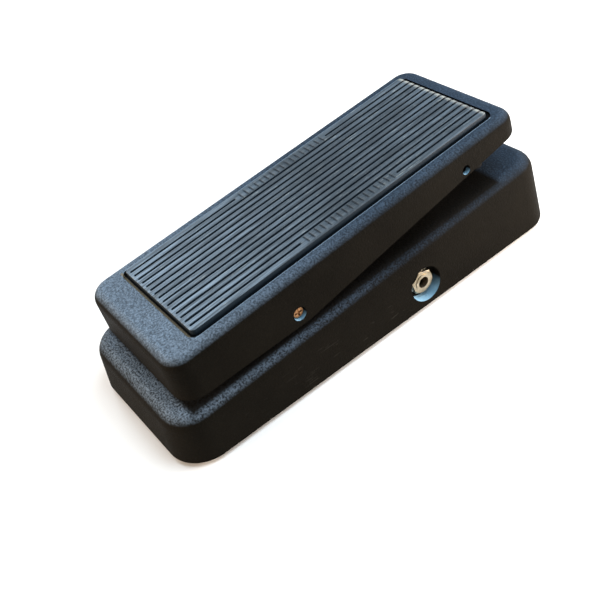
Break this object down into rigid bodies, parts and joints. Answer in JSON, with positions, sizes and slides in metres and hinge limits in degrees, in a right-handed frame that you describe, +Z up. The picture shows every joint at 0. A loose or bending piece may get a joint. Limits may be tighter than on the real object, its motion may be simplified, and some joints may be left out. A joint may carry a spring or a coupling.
{
  "type": "volume pedal",
  "caption": "Rocker volume pedal: a ribbed rubber-topped treadle turns on a cross shaft over a hollow die-cast base and drives a potentiometer through a rack and pinion.",
  "frame": {"origin": "centre of the footprint, on the surface that the feet stand on", "axes": "+X to the player's right, +Y from the heel end to the toe end, +Z up"},
  "size_m": [0.102, 0.252, 0.0771],
  "materials": {
    "cast_shell": "fine-textured black powder coat on die-cast alloy",
    "pad_rubber": "moulded ribbed rubber, matt, dusty on the rib tops",
    "foot_rubber": "moulded rubber, matt",
    "plate_steel": "black painted sheet steel",
    "zinc_steel": "bright zinc plate",
    "nickel": "dull nickel plate",
    "brass_parts": "plain brass, slightly tarnished",
    "nylon": "natural nylon",
    "fibre": "brown fibre board",
    "signal_lead": "insulated hook-up wire",
    "return_lead": "insulated hook-up wire",
    "ground_lead": "insulated hook-up wire"
  },
  "bodies": {
    "base": {"base_housing": "cast_shell", "bottom_plate": "plate_steel", "rubber_feet": "foot_rubber", "foot_screws": "zinc_steel", "pivot_bushings": "nylon", "tension_screw": "zinc_steel", "tension_pad": "nylon", "heel_bumpers": "foot_rubber", "toe_bumpers": "foot_rubber", "pot_bracket": "zinc_steel", "bracket_screws": "zinc_steel", "pot_body": "zinc_steel", "pot_terminals": "brass_parts", "pot_washer": "zinc_steel", "pot_nut": "zinc_steel", "rack_guide": "nylon", "guide_screws": "zinc_steel", "input_jack_frame": "nickel", "input_jack_insulator": "fibre", "input_jack_contact": "brass_parts", "input_jack_washer": "zinc_steel", "input_jack_nut": "nickel", "output_jack_frame": "nickel", "output_jack_insulator": "fibre", "output_jack_contact": "brass_parts", "output_jack_washer": "zinc_steel", "output_jack_nut": "nickel", "input_signal_wire": "signal_lead", "output_signal_wire": "return_lead", "ground_link_wire": "ground_lead", "pot_ground_wire": "ground_lead"},
    "treadle": {"treadle_shell": "cast_shell", "tread_pad": "pad_rubber", "pivot_shaft": "zinc_steel", "pivot_screws": "brass_parts", "rack_pin": "zinc_steel", "rack_pin_clips": "zinc_steel"},
    "rack": {"toothed_rack": "nylon"},
    "pinion": {"pot_shaft": "zinc_steel", "pinion_gear": "brass_parts", "pinion_grub_screw": "zinc_steel"}
  },
  "joints": [
    {"name": "rocker", "type": "hinge", "parent": "base", "child": "treadle", "pos_m": [0, -0.0435, 0.04408], "axis": [1, 0, 0], "range_deg": [-7.5, 3.5]},
    {"name": "rack_slide", "type": "slide", "parent": "base", "child": "rack", "axis": [0, 0, 1], "range_m": [-0.0151, 0.0071]},
    {"name": "pinion_spin", "type": "hinge", "parent": "base", "child": "pinion", "pos_m": [0, 0.06238, 0.02782], "axis": [1, 0, 0], "range_deg": [-166, 78]}
  ],
  "couplings": [
    {"joint": "rack_slide", "follows": "rocker", "m_per_rad": 0.11368},
    {"joint": "pinion_spin", "follows": "rocker", "ratio": 21.862}
  ]
}
